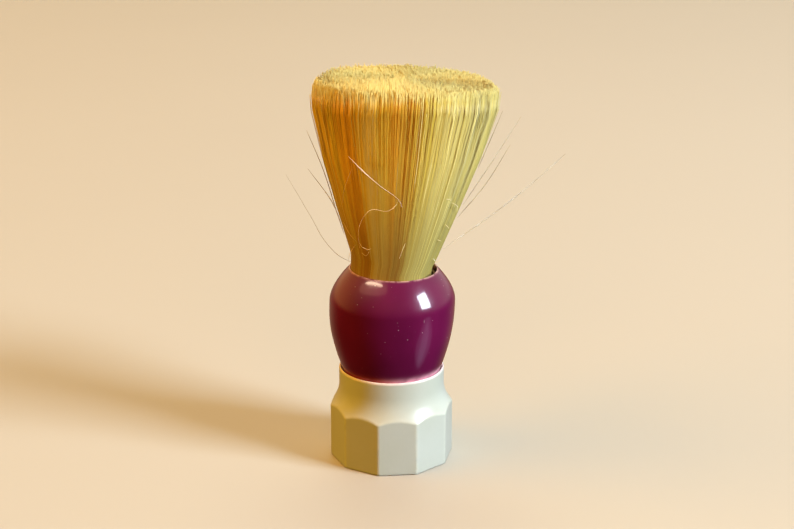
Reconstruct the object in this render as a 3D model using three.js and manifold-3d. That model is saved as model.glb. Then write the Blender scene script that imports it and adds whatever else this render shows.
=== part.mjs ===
// A shaving brush: a flared tuft of boar bristle set in a handle of two moulded plastic parts.
// Millimetres, +Z up. The origin is the middle of the base's underside, and -Y is the front.
import * as THREE from "three";
import { mergeVertices } from "three/addons/utils/BufferGeometryUtils.js";
import Module from "manifold-3d";

const wasm = await Module();
wasm.setup();

// Clearance between two pieces that touch on the real brush.
const GAP = 0.3;

// Facets round the outer and the inner turned pieces, and along each curve of an outline.
const OUTER_FACETS = 60;
const INNER_FACETS = 32;
const CURVE_STEPS = 8;

// The ivory base: a ten-sided skirt, a concave cove and a round neck with a thin lip.
const FLATS = 10;
const CORNER_RADIUS = 17;
const FIRST_CORNER = 6; // degrees from +X
const BOTTOM_CHAMFER = 0.3;
const NECK_RADIUS = 14.4;
const COVE_RADIUS = 10;
const COVE_TOP = 21.5;
const RIM_HEIGHT = 26.1;
const RIM_ROUNDING = 0.2;
const LIP_WIDTH = 0.45;
const LIP_DEPTH = 0.9;
const SOCKET_RADIUS = 11.1;
const FLOOR_THICKNESS = 2.6;

// The burgundy upper handle: a bulb with a spigot below it and a mouth on top.
const SPIGOT_LENGTH = 8.2;
const SPIGOT_CEMENT = 2; // thickness of the cement under the spigot
const BULB_FOOT_RADIUS = 13.65;
const BULB_RADIUS = 17.05;
const BULB_WIDEST = 45; // height of the widest place
const MOUTH_HEIGHT = 54.5;
const MOUTH_EDGE_RADIUS = 11.5;
const FOOT_PULL = 9.7; // lengths of the handles that shape the bulb's two Bezier curves
const BELLY_PULL = 5.2;
const SHOULDER_PULL = 4;
const MOUTH_PULL = [1, 0.9];
const BORE_RADIUS = 11.6;
const BORE_OFFSET = 0.6; // the bore sits this far to +X of the handle's axis
const BORE_FLOOR = 33;

// The knot, which is the bound foot of the tuft in its metal cup.
const PLUG_THICKNESS = 3.4;
const FERRULE_RADIUS = 10.4;
const FERRULE_WALL = 0.5;
const FERRULE_LENGTH = 14;
const RUBBER_THICKNESS = 3.2;
const CEMENT_LENGTH = 15.4;
const KNOT_RADIUS = 10.4; // of the bristles where they leave the handle
const KNOT_DEPTH = 1; // the bound roots end this far below the mouth
const ROOT_FLARE = 4; // length over which the roots widen to the knot's radius
const BOUND_RADIUS = 8.9; // of the roots under the twine
const TWINE_RADIUS = 0.35;
const TWINE_TURNS = 5;
const TWINE_HEIGHT = 1; // of the first turn above the foot of the roots

// The tuft, in its own leaning frame: heights are measured from the mouth along its axis.
const LEAN_RIGHT = 2.1; // degrees towards +X
const LEAN_BACK = 2; // degrees towards +Y
const SLANT = 0.029; // the bristles lean this much more to +X than the cut top is tilted
const TUFT_HEIGHT = 51;
const TUFT_TOP_RADIUS = 24.3;
const TUFT_BELLY = 0.8; // how far its flare swells past a straight cone
const CROWN_WIDTH = 3.2; // the rounded corner between its side and its cut top
const CROWN_HEIGHT = 7.2;
const CORE_SHARE = 0.5; // radius of the core over that of the tuft
const LOCKS = 8;
const LOCK_FACETS = 5; // round the outside of each lock
const FIRST_LOCK = -110; // degrees from +X, the middle of the first lock
const STRAY_RADIUS = 0.11;
const STRAY_FACETS = 6;
const STEPS_PER_POINT = 6;

// Single bristles that stand away from the tuft. A route's points are
// [degrees round the tuft's axis, height above the mouth, distance out from the tuft's side].
const STRAY_ROUTES = [
  [[-9, 5.8, 0.5], [-9, 15.8, 8.8], [-9, 25, 15.5], [-9, 34, 21.3]],
  [[-5, 18, 0.5], [-5, 31, 3.6], [-5, 42.5, 6.6]],
  [[-15, 15, 0.6], [-15, 25, 4.2], [-15, 36, 6.6]],
  [[-2, 28, 0.5], [-2, 36.5, 1], [-2, 43.5, 1.5]],
  [[187, 14, 0.5], [187, 26, 0.8], [187, 37, 2.8]],
  [[196, 9.5, 0.5], [194, 18, 1], [190, 27, 4.9]],
  [[190, 2.5, 0.5], [190, 5.5, 6], [190, 14, 7.8], [190, 25.5, 11.1]],
  [[-91, 20.9, 0.6], [-104.5, 26.7, 0.8], [-117, 31, 0.8], [-127.5, 33.5, 0.8]],
  [[-91, 21.4, 1.8], [-98.5, 19.8, 1.3], [-113.5, 19.8, 1], [-127, 14.2, 0.8], [-130, 8, 0.6]],
];

const radians = THREE.MathUtils.degToRad;

const IVORY = new THREE.MeshStandardMaterial({ color: 0xe9e3b4, roughness: 0.3, metalness: 0 });
const BURGUNDY = new THREE.MeshStandardMaterial({ color: 0x5a0a28, roughness: 0.15, metalness: 0 });
const PLASTER = new THREE.MeshStandardMaterial({ color: 0xdad5c8, roughness: 0.9, metalness: 0 });
const CEMENT = new THREE.MeshStandardMaterial({ color: 0x6f5a34, roughness: 0.6, metalness: 0 });
const WOOD = new THREE.MeshStandardMaterial({ color: 0xb58a55, roughness: 0.8, metalness: 0 });
const TIN = new THREE.MeshStandardMaterial({ color: 0xb9bab6, roughness: 0.35, metalness: 1 });
const RUBBER = new THREE.MeshStandardMaterial({ color: 0x2b2523, roughness: 0.7, metalness: 0 });
const TWINE = new THREE.MeshStandardMaterial({ color: 0xc7b48a, roughness: 0.9, metalness: 0 });
const BRISTLE = new THREE.MeshStandardMaterial({ color: 0xd6b24a, roughness: 0.55, metalness: 0 });

// Booleans: a closed three.js geometry as a solid, and a solid as a geometry again.
function solidOf(geometry) {
  const bare = geometry.clone();
  bare.deleteAttribute("normal");
  bare.deleteAttribute("uv");
  const merged = mergeVertices(bare, 1e-4);
  return new wasm.Manifold(
    new wasm.Mesh({
      numProp: 3,
      vertProperties: merged.attributes.position.array,
      triVerts: new Uint32Array(merged.index.array),
    }),
  );
}

function geometryOf(solid) {
  const mesh = solid.getMesh();
  const geometry = new THREE.BufferGeometry();
  geometry.setAttribute("position", new THREE.BufferAttribute(mesh.vertProperties, 3));
  geometry.setIndex(new THREE.BufferAttribute(mesh.triVerts, 1));
  geometry.computeVertexNormals();
  return geometry;
}

// A profile of [radius, height] turned about the Z axis.
function turned(profile, segments) {
  const points = profile.map(([radius, height]) => new THREE.Vector2(radius, height));
  return new THREE.LatheGeometry(points, segments).rotateX(Math.PI / 2);
}

function disc(radius, bottom, top, segments = INNER_FACETS) {
  return turned([[0, bottom], [radius, bottom], [radius, top], [0, top]], segments);
}

function regularPolygon(sides, radius, firstCorner) {
  const corners = [];
  for (let i = 0; i < sides; i += 1) {
    const angle = radians(firstCorner + (360 * i) / sides);
    corners.push(new THREE.Vector2(radius * Math.cos(angle), radius * Math.sin(angle)));
  }
  return new THREE.Shape(corners);
}

function curvePoints(curve) {
  return curve.getPoints(CURVE_STEPS).map((point) => [point.x, point.y]);
}

// The base is a turned cup, trimmed by a ten-sided prism: the cove runs out into the flats as arcs.
function baseGeometry() {
  const coveCentre = NECK_RADIUS + COVE_RADIUS;
  const widest = CORNER_RADIUS + GAP; // past the corners, so that the prism trims it
  const coveEnd = Math.acos((coveCentre - widest) / COVE_RADIUS);
  const cove = new THREE.EllipseCurve(
    coveCentre, COVE_TOP, COVE_RADIUS, COVE_RADIUS, Math.PI + coveEnd, Math.PI, true,
  );
  const recess = NECK_RADIUS - LIP_WIDTH;
  const cup = turned(
    [
      [0, 0],
      [widest, 0],
      ...curvePoints(cove),
      [NECK_RADIUS, RIM_HEIGHT - RIM_ROUNDING],
      [NECK_RADIUS - RIM_ROUNDING, RIM_HEIGHT],
      [recess, RIM_HEIGHT],
      [recess, RIM_HEIGHT - LIP_DEPTH],
      [SOCKET_RADIUS, RIM_HEIGHT - LIP_DEPTH],
      [SOCKET_RADIUS, FLOOR_THICKNESS],
      [0, FLOOR_THICKNESS],
    ],
    OUTER_FACETS,
  );
  const prism = new THREE.ExtrudeGeometry(regularPolygon(FLATS, CORNER_RADIUS, FIRST_CORNER), {
    depth: RIM_HEIGHT,
    bevelThickness: BOTTOM_CHAMFER,
    bevelSize: BOTTOM_CHAMFER,
    bevelOffset: -BOTTOM_CHAMFER,
    bevelSegments: 1,
  });
  prism.translate(0, 0, BOTTOM_CHAMFER);
  return geometryOf(solidOf(cup).intersect(solidOf(prism)));
}

// The bulb stands in the lip's recess, and its spigot goes down into the base.
const bulbFoot = RIM_HEIGHT - LIP_DEPTH + GAP;
const spigotEnd = bulbFoot - SPIGOT_LENGTH;

// The bulb's side is two Bezier curves that meet, upright, at its widest place.
function upperHandleGeometry() {
  const belly = new THREE.CubicBezierCurve(
    new THREE.Vector2(BULB_FOOT_RADIUS, RIM_HEIGHT),
    new THREE.Vector2(BULB_RADIUS, RIM_HEIGHT + FOOT_PULL),
    new THREE.Vector2(BULB_RADIUS, BULB_WIDEST - BELLY_PULL),
    new THREE.Vector2(BULB_RADIUS, BULB_WIDEST),
  );
  const shoulder = new THREE.CubicBezierCurve(
    new THREE.Vector2(BULB_RADIUS, BULB_WIDEST),
    new THREE.Vector2(BULB_RADIUS, BULB_WIDEST + SHOULDER_PULL),
    new THREE.Vector2(MOUTH_EDGE_RADIUS + MOUTH_PULL[0], MOUTH_HEIGHT - MOUTH_PULL[1]),
    new THREE.Vector2(MOUTH_EDGE_RADIUS, MOUTH_HEIGHT),
  );
  const bulb = turned(
    [
      [0, spigotEnd],
      [SOCKET_RADIUS - GAP, spigotEnd],
      [SOCKET_RADIUS - GAP, bulbFoot],
      [BULB_FOOT_RADIUS, bulbFoot],
      ...curvePoints(belly),
      ...curvePoints(shoulder).slice(1),
      [0, MOUTH_HEIGHT],
    ],
    OUTER_FACETS,
  );
  const bore = disc(BORE_RADIUS, BORE_FLOOR, MOUTH_HEIGHT + GAP, OUTER_FACETS);
  bore.translate(BORE_OFFSET, 0, 0);
  return geometryOf(solidOf(bulb).subtract(solidOf(bore)));
}

// The inside of the base: a plaster weight, and the cement that holds the spigot.
const cementBottom = spigotEnd - GAP - SPIGOT_CEMENT;

function baseFiller() {
  return disc(SOCKET_RADIUS - GAP, FLOOR_THICKNESS + GAP, cementBottom - GAP);
}

function baseCement() {
  return disc(SOCKET_RADIUS - GAP, cementBottom, spigotEnd - GAP);
}

// The inside of the bore, from the bottom up.
const plugBottom = BORE_FLOOR + GAP;
const ferruleBottom = plugBottom + PLUG_THICKNESS + GAP;
const ferruleFloor = ferruleBottom + FERRULE_WALL;
const ferruleInside = FERRULE_RADIUS - FERRULE_WALL;
const rootsBottom = ferruleFloor + GAP + RUBBER_THICKNESS + GAP;
const rootsTop = MOUTH_HEIGHT - KNOT_DEPTH;

function handlePlug() {
  return disc(BORE_RADIUS - GAP, plugBottom, plugBottom + PLUG_THICKNESS);
}

function knotFerrule() {
  return turned(
    [
      [0, ferruleBottom],
      [FERRULE_RADIUS, ferruleBottom],
      [FERRULE_RADIUS, ferruleBottom + FERRULE_LENGTH],
      [ferruleInside, ferruleBottom + FERRULE_LENGTH],
      [ferruleInside, ferruleFloor],
      [0, ferruleFloor],
    ],
    INNER_FACETS,
  );
}

function knotRubber() {
  return disc(ferruleInside - GAP, ferruleFloor + GAP, ferruleFloor + GAP + RUBBER_THICKNESS);
}

function knotCement() {
  const inner = FERRULE_RADIUS + GAP;
  const outer = BORE_RADIUS - GAP;
  const top = ferruleBottom + CEMENT_LENGTH;
  return turned(
    [[inner, ferruleBottom], [outer, ferruleBottom], [outer, top], [inner, top], [inner, ferruleBottom]],
    INNER_FACETS,
  );
}

function bristleRoots() {
  const flareStart = rootsTop - ROOT_FLARE;
  return turned(
    [
      [0, rootsBottom],
      [BOUND_RADIUS, rootsBottom],
      [BOUND_RADIUS, flareStart],
      [ferruleInside - GAP, flareStart + ROOT_FLARE / 2],
      [KNOT_RADIUS, rootsTop],
      [0, rootsTop],
    ],
    INNER_FACETS,
  );
}

// Twine wound round the roots: its turns lie on each other, so its outside is a row of half rounds.
function rootBinding() {
  const inner = BOUND_RADIUS + GAP / 2;
  const bottom = rootsBottom + TWINE_HEIGHT;
  const profile = [[inner, bottom]];
  for (let turn = 0; turn < TWINE_TURNS; turn += 1) {
    const middle = bottom + TWINE_RADIUS * (2 * turn + 1);
    for (const side of [-45, 45]) {
      const angle = radians(side);
      profile.push([inner + TWINE_RADIUS * Math.cos(angle), middle + TWINE_RADIUS * Math.sin(angle)]);
    }
  }
  profile.push([inner, bottom + 2 * TWINE_RADIUS * TWINE_TURNS], [inner, bottom]);
  return turned(profile, INNER_FACETS);
}

// Radius of the tuft's side at a height above the mouth.
const sideHeight = TUFT_HEIGHT - CROWN_HEIGHT;

function tuftRadius(height) {
  const share = Math.min(height / sideHeight, 1);
  const flare = (TUFT_TOP_RADIUS - KNOT_RADIUS) * share;
  return KNOT_RADIUS + flare + TUFT_BELLY * Math.sin(Math.PI * share ** 1.2);
}

function tuftSolid() {
  const profile = [[0, GAP]];
  for (let i = 0; i <= CURVE_STEPS; i += 1) {
    const height = GAP + ((sideHeight - GAP) * i) / CURVE_STEPS;
    profile.push([tuftRadius(height), height]);
  }
  const crown = new THREE.EllipseCurve(
    TUFT_TOP_RADIUS - CROWN_WIDTH, sideHeight, CROWN_WIDTH, CROWN_HEIGHT, 0, Math.PI / 2,
  );
  profile.push(...curvePoints(crown).slice(1), [0, TUFT_HEIGHT]);
  return solidOf(turned(profile, LOCK_FACETS * LOCKS).rotateZ(radians(FIRST_LOCK - 180 / LOCKS)));
}

// The core of the tuft is a tapered prism with one side behind each lock.
function coreGeometry(clearance) {
  const bottom = CORE_SHARE * KNOT_RADIUS + clearance;
  const top = CORE_SHARE * TUFT_TOP_RADIUS + clearance;
  const height = TUFT_HEIGHT - GAP;
  const core = new THREE.CylinderGeometry(top, bottom, height, LOCKS);
  core.rotateX(Math.PI / 2);
  core.translate(0, 0, GAP + height / 2);
  return core.rotateZ(radians(FIRST_LOCK + 90 - 180 / LOCKS));
}

// A lock is the part of the tuft's outer ring between two upright planes through its axis.
function lockGeometry(index, tuft, hollow) {
  const halfAngle = 180 / LOCKS;
  const reach = 2 * TUFT_TOP_RADIUS;
  const apex = GAP / 2 / Math.sin(radians(halfAngle));
  const side = reach * Math.tan(radians(halfAngle));
  const sector = new THREE.Shape([
    new THREE.Vector2(apex, 0),
    new THREE.Vector2(apex + reach, -side),
    new THREE.Vector2(apex + reach, side),
  ]);
  const wedge = new THREE.ExtrudeGeometry(sector, { depth: TUFT_HEIGHT + GAP, bevelEnabled: false });
  wedge.rotateZ(radians(FIRST_LOCK + (360 * index) / LOCKS));
  return geometryOf(tuft.intersect(solidOf(wedge)).subtract(hollow));
}

function tuftPoint([azimuth, height, distance]) {
  const radius = tuftRadius(height) + distance;
  const angle = radians(azimuth);
  return new THREE.Vector3(radius * Math.cos(angle) + SLANT * height, radius * Math.sin(angle), height);
}

function strayBristle(route) {
  const points = route.map(tuftPoint);
  const section = regularPolygon(STRAY_FACETS, STRAY_RADIUS, 0);
  return new THREE.ExtrudeGeometry(section, {
    steps: STEPS_PER_POINT * (points.length - 1),
    bevelEnabled: false,
    extrudePath: new THREE.CatmullRomCurve3(points),
  });
}

function addPiece(group, name, geometry, material) {
  const mesh = new THREE.Mesh(geometry, material.clone());
  mesh.name = name;
  group.add(mesh);
}

const brush = new THREE.Group();
addPiece(brush, "base", baseGeometry(), IVORY);
addPiece(brush, "base_filler", baseFiller(), PLASTER);
addPiece(brush, "base_cement", baseCement(), CEMENT);
addPiece(brush, "upper_handle", upperHandleGeometry(), BURGUNDY);

const knot = new THREE.Group();
knot.position.x = BORE_OFFSET;
brush.add(knot);
addPiece(knot, "handle_plug", handlePlug(), WOOD);
addPiece(knot, "knot_ferrule", knotFerrule(), TIN);
addPiece(knot, "knot_rubber", knotRubber(), RUBBER);
addPiece(knot, "knot_cement", knotCement(), CEMENT);
addPiece(knot, "bristle_roots", bristleRoots(), BRISTLE);
addPiece(knot, "root_binding", rootBinding(), TWINE);

const tuft = new THREE.Group();
tuft.position.set(BORE_OFFSET, 0, MOUTH_HEIGHT);
tuft.rotation.set(radians(-LEAN_BACK), radians(LEAN_RIGHT), 0);
brush.add(tuft);
const slant = new THREE.Matrix4().makeShear(0, 0, 0, 0, SLANT, 0);
const wholeTuft = tuftSolid();
const coreHollow = solidOf(coreGeometry(GAP));
const core = geometryOf(wholeTuft.intersect(solidOf(coreGeometry(0))));
addPiece(tuft, "bristle_core", core.applyMatrix4(slant), BRISTLE);
for (let i = 0; i < LOCKS; i += 1) {
  const lock = lockGeometry(i, wholeTuft, coreHollow);
  addPiece(tuft, `bristle_lock_0${i + 1}`, lock.applyMatrix4(slant), BRISTLE);
}
STRAY_ROUTES.forEach((route, i) => {
  addPiece(tuft, `stray_bristle_0${i + 1}`, strayBristle(route), BRISTLE);
});

export default brush;
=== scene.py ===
"""A shaving brush: a handle of ivory and burgundy plastic, and a flared tuft made of single bristles."""
import math

import bpy
import numpy as np
from mathutils import Matrix, Quaternion, Vector


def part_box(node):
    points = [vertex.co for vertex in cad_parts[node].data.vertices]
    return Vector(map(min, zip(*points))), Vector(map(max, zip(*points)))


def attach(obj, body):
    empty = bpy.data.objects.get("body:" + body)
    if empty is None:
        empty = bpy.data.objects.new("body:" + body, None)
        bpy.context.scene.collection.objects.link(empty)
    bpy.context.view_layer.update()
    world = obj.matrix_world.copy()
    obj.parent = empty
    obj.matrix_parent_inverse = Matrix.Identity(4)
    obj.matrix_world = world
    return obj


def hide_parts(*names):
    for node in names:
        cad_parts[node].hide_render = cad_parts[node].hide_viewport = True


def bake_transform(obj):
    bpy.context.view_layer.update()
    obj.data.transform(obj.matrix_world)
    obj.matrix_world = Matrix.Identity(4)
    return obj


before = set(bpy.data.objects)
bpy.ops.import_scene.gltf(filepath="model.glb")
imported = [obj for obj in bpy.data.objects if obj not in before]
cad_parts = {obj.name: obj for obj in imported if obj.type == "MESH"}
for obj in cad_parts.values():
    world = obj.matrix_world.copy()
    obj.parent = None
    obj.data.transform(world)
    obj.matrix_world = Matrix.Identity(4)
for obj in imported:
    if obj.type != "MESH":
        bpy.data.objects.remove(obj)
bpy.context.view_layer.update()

MM = 0.001

# ---------------------------------------------------------------- driving dimensions, in millimetres

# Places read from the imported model.
BASE_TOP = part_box("base")[1][2] / MM
BULB_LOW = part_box("upper_handle")[0][2] / MM
BULB_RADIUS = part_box("upper_handle")[1][0] / MM
MOUTH_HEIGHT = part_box("upper_handle")[1][2] / MM
PLUG_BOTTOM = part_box("handle_plug")[0][2] / MM
FILLER_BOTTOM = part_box("base_filler")[0][2] / MM
FILLER_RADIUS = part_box("base_filler")[1][0] / MM
CEMENT_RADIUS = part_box("knot_cement")[1][1] / MM
KNOT_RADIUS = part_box("bristle_roots")[1][1] / MM
BORE_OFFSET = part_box("knot_ferrule")[1][0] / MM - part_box("knot_ferrule")[1][1] / MM
GAP = 0.3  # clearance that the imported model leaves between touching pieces

# The base.
FLATS = 10
STEPS_ON_A_FLAT = 36
CORNER_RADIUS = 17
FIRST_CORNER = math.radians(6)
NECK_RADIUS = 14.4
COVE_RADIUS = 10
COVE_TOP = 21.5
SOFT_EDGE = 0.32  # how far the rounding of a moulded edge reaches
FOOT_ROUNDING = 0.45
LIP_WIDTH = 0.45
LIP_DEPTH = 0.9
LIP_ROUNDING = 0.7
ARC_ZONE = (13.2, 17.4)  # the flats end in arcs under the cove between these heights

# The burgundy upper handle.
BULB_FOOT_RADIUS = 13.65
BULB_WIDEST = 45
MOUTH_EDGE_RADIUS = 11.5
MOUTH_ROUNDING = 0.3
LIP_REFLECTION_REACH = 1.1  # height over which a pink reflection of the base's lip is painted on the plastic above it
FOOT_PULL = 9.7  # these shape the outline's two curves
BELLY_PULL = 5.2
SHOULDER_PULL = 3.8
MOUTH_PULL = (1.0, 0.85)
TOP_SHIFT = 0.35  # the bulb's upper half is turned this far off the handle's axis, to +X
SHIFT_FROM = 36

# The tuft, in its own leaning frame: heights are measured from the mouth along its axis.
LEAN_RIGHT = math.radians(2.1)
LEAN_BACK = math.radians(2)
SLANT = 0.029
TUFT_HEIGHT = 51
TUFT_TOP_RADIUS = 24.3
TUFT_BELLY = 0.8  # how far the side bulges past a straight cone
SIDE_INSET = 0.35  # room that the outer bristles leave for the loose ones, at the top
CROWN_WIDTH = 4.6  # of the rounded edge round the cut top
CROWN_HEIGHT = 7.2  # the side reaches its full radius this far below the top
CROWN_DROP = 3.9  # from the middle of the cut top to its edge, on average
CROWN_TILT = 2.4  # the drop is greater behind and smaller in front by this
CROWN_TURN = math.radians(105)
FRONT_RISE = 1.2  # the cut top's edge stands this much higher in front
RAGGED_TURN = math.radians(-165)  # the cut top is most ragged on this side
CORE_SHARE = 0.5
LOCKS = 8
FIRST_LOCK = math.radians(-110)
TUFT_FRAME = (
    Matrix.Translation((BORE_OFFSET, 0, MOUTH_HEIGHT))
    @ Matrix.Rotation(-LEAN_BACK, 4, "X")
    @ Matrix.Rotation(LEAN_RIGHT, 4, "Y")
)

# The bristles.
SEED = 11
INNER_STRANDS = 24000
OUTER_STRANDS = 14000  # they lie close together round the tuft's side
OUTER_FROM = 0.97
STRANDS = INNER_STRANDS + OUTER_STRANDS
OUTER_SIDES = 4
INNER_SIDES = 3
# Places along a bristle between its root curve and its tip.
OUTER_LEVELS = np.array([0.0, 0.3, 0.62, 0.9, 1.0])
INNER_LEVELS = np.array([0.0, 0.5, 0.9, 1.0])
ROOT_DEPTH = 3.5  # the bristles start this far below the mouth
ROOT_RADIUS = 10.8  # of the bundle inside the mouth
ROOT_SHIFT = -0.6  # the bundle is pressed to this side of the bore
ROOT_CURVE = 3.5  # height over which it fills out again
ROOT_THICKNESS = 0.105  # radius of a bristle at its root
TIP_THICKNESS = 0.08
OUTER_SIZE = 1.2  # the bristles are thicker than that by these factors
INNER_SIZE = 1.3
CLUMPS = 230  # the side's bristles lean together a little, towards this many places
CLUMP_PULL = 0.025
SWIRL = 0.013  # spread of the turn round the axis between root and tip, in radians
LOOSE_SHARE = 0.04  # of the bristles that cross their neighbours
LOOSE_SWIRL = 0.07
LOOSE_FLARE = 0.3
FAR_SHARE = 0.003  # of the bristles that stand off the side; there are more where the top is ragged
FAR_SHARE_RAGGED = 0.02
FAR_FLARE = 1.1
TIP_SPREAD = 0.42
SHORT_SHARE = 0.06  # of the bristles that end below the others
BEND_SPREAD = 0.22
LOCK_BLUR = 0.07  # the border between the core and the locks is blurred by this much
ASTRAY = math.radians(5)  # and the borders between the locks by this much
HUES = 16
SHADES = 16
OWN_NORMAL = 0.1  # share of a bristle's own roundness in its shading; the rest is the whole tuft's
TOP_TURN = 1.6  # height below a tip over which the normals turn upward
# Broad streaks of bristle colour round the tuft, as (degrees round its axis, hue, shade). The hue is the
# bristles' own colour; the shade is painted light, lighter on the left in front and darker on the right,
# where the window falls.
STREAKS = [
    (-180, 0.48, 0.55), (-160, 0.56, 0.6), (-142, 0.56, 0.6), (-137, 0.68, 0.6), (-131, 0.76, 0.75),
    (-124, 0.68, 0.85), (-119, 0.42, 0.95), (-114, 0.28, 0.95), (-109, 0.52, 0.85), (-97, 0.60, 0.85),
    (-90, 0.70, 0.6), (-84, 0.72, 0.5), (-79, 0.45, 0.45), (-62, 0.34, 0.34), (-48, 0.20, 0.27),
    (-36, 0.18, 0.15), (-15, 0.22, 0.15), (20, 0.30, 0.3), (60, 0.40, 0.5), (110, 0.45, 0.5),
    (150, 0.40, 0.5),
]

# Single bristles that stand away from the tuft: the lock that each is listed with, and its route as
# [degrees round the tuft's axis, height above the mouth, distance out from the tuft's side].
STRAY_THICKNESS = 0.1
STRAYS = [
    ("lock_03", [[-9, 5.8, 0.5], [-9, 15.8, 8.8], [-9, 25, 15.5], [-9, 34, 21.3]]),
    ("lock_03", [[-5, 18, 0.5], [-5, 31, 3.6], [-5, 42.5, 6.6]]),
    ("lock_03", [[-15, 15, 0.6], [-15, 25, 4.2], [-15, 36, 6.6]]),
    ("lock_03", [[-2, 28, 0.5], [-2, 36.5, 1], [-2, 43.5, 1.5]]),
    ("lock_08", [[187, 14, 0.5], [187, 26, 0.8], [187, 37, 2.8]]),
    ("lock_08", [[196, 9.5, 0.5], [194, 18, 1], [190, 27, 4.9]]),
    ("lock_08", [[190, 1, 0.5], [190, 3.5, 4], [190, 8, 6.4], [190, 14, 7.8], [190, 25.5, 11.1]]),
    ("lock_01", [[-127, 33.7, 0.9], [-116.5, 30.3, 0.9], [-104.5, 26.8, 0.9], [-93, 24, 0.9],
                 [-89, 22.4, 0.9], [-87.5, 21, 0.8]]),
    ("lock_01", [[-90.5, 23.2, 0.8], [-93, 21.3, 0.8], [-99.5, 19.7, 0.8], [-111, 19.8, 0.8],
                 [-118, 18.2, 0.8], [-125.5, 15, 0.8], [-130.5, 11.4, 0.8], [-133, 7.5, 0.7]]),
]
FAINT_STRAY = 7  # a thin one that curls out low on the left
PALE_STRAY = 8  # the thick pale hair across the front, thin from its middle on
GOLD_STRAY = 9  # the thin curl beside it
STRAY_SIZES = {FAINT_STRAY: 0.6, PALE_STRAY: 1.5, GOLD_STRAY: 0.6}
OTHER_STRAY_SIZE = 1.15

# Thinner, shorter hairs and curls that lie on the tuft, by the lock that they are listed with.
CURL_THICKNESS = 0.06
CURLS = {
    "lock_01": [
        [[-132, 9, 0.6], [-128.5, 8, 0.7], [-122, 7.6, 0.7], [-117.5, 8, 0.6]],
        [[-131.5, 6.2, 0.6], [-125.5, 5.6, 0.7], [-120, 7.1, 0.6]],
        [[-126, 30.4, 0.5], [-133, 26.3, 0.6], [-139.5, 22.6, 0.6], [-144.5, 19.5, 0.5]],
    ],
    "lock_02": [
        [[-81, 10.5, 0.7], [-83, 8.2, 0.8], [-85, 5.8, 0.6]],
        [[-51, 22.7, 0.7], [-47, 22.4, 1.1], [-45, 21.8, 0.7]],
    ],
    "lock_03": [
        [[-42, 21.2, 0.6], [-34, 19.8, 1], [-26, 17.5, 0.6]],
        [[-40, 14.8, 0.6], [-34, 13.7, 0.9], [-28, 12.8, 0.6]],
        [[-42, 10.4, 0.5], [-34, 9.6, 0.7]],
        [[-36, 4.6, 0.6], [-22, 2.8, 0.9], [-9, 3.1, 1.3]],
    ],
    "lock_08": [
        [[-153, 13.6, 0.6], [-145, 10.8, 0.7], [-136, 9.1, 0.7]],
        [[-139.5, 8.1, 0.6], [-161.5, 4, 0.8], [-173.5, 1.2, 1.5]],
    ],
}


# ---------------------------------------------------------------- meshes

def mesh_object(name, vertices, faces, uv=None, normals=None, values=None):
    """An object from arrays: vertices in millimetres, faces as a list of index arrays with one row a face."""
    mesh = bpy.data.meshes.new(name)
    corners = np.concatenate([face.ravel() for face in faces])
    sizes = np.concatenate([np.full(len(face), face.shape[1]) for face in faces])
    starts = np.concatenate([[0], np.cumsum(sizes)[:-1]])
    mesh.vertices.add(len(vertices))
    mesh.vertices.foreach_set("co", (np.asarray(vertices) * MM).astype(np.float32).ravel())
    mesh.loops.add(len(corners))
    mesh.polygons.add(len(sizes))
    mesh.polygons.foreach_set("loop_start", starts.astype(np.int32))
    mesh.polygons.foreach_set("vertices", corners.astype(np.int32))
    if uv is not None:
        layer = mesh.uv_layers.new(name="OFBake")
        layer.data.foreach_set("uv", uv[corners].astype(np.float32).ravel())
    for key, value in (values or {}).items():
        mesh.attributes.new(key, "FLOAT", "POINT").data.foreach_set("value", value.astype(np.float32))
    mesh.update(calc_edges=True)
    mesh.validate()
    mesh.shade_smooth()
    if normals is not None:
        mesh.normals_split_custom_set_from_vertices(normals)
    thing = bpy.data.objects.new(name, mesh)
    bpy.context.scene.collection.objects.link(thing)
    return thing


def skin(rings, bottom, top):
    """Vertices and faces of a closed body from rings of equal length, with a point at each end."""
    count, around = len(rings), len(rings[0])
    vertices = np.concatenate(rings + [np.array([bottom, top], float)])
    here = np.arange(around)
    after = (here + 1) % around
    quads = [
        np.stack([here, after, after + around, here + around], 1) + around * row for row in range(count - 1)
    ]
    low, high = count * around, count * around + 1
    last = around * (count - 1)
    first_fan = np.stack([after, here, np.full(around, low)], 1)
    last_fan = np.stack([here + last, after + last, np.full(around, high)], 1)
    return vertices, [np.concatenate(quads), np.concatenate([first_fan, last_fan])]


def shell_values(**rows):
    """One value for each vertex of a skin, from rows that follow its rings; its two end points get zero."""
    return {name: np.concatenate(row + [np.zeros(2)]) for name, row in rows.items()}


def ring(radius, height, angles, shift=0.0):
    """One ring. Radius, height and the shift to +X are numbers, or arrays with a value for each angle."""
    level = np.broadcast_to(height, angles.shape)
    return np.stack([radius * np.cos(angles) + shift, radius * np.sin(angles), level], 1)


def soft_min(a, b, reach):
    """The smaller of two values, rounded off where they are closer than reach."""
    share = np.clip(reach - np.abs(a - b), 0, None) / reach
    return np.minimum(a, b) - share * share * reach / 4


def smooth_step(low, high, x):
    t = np.clip((x - low) / (high - low), 0, 1)
    return t * t * (3 - 2 * t)


def bezier(a, b, c, d, steps):
    t = np.linspace(0, 1, steps)[:, None]
    a, b, c, d = (np.array(p, float) for p in (a, b, c, d))
    return (1 - t) ** 3 * a + 3 * (1 - t) ** 2 * t * b + 3 * (1 - t) * t * t * c + t ** 3 * d


# ---------------------------------------------------------------- materials

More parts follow.
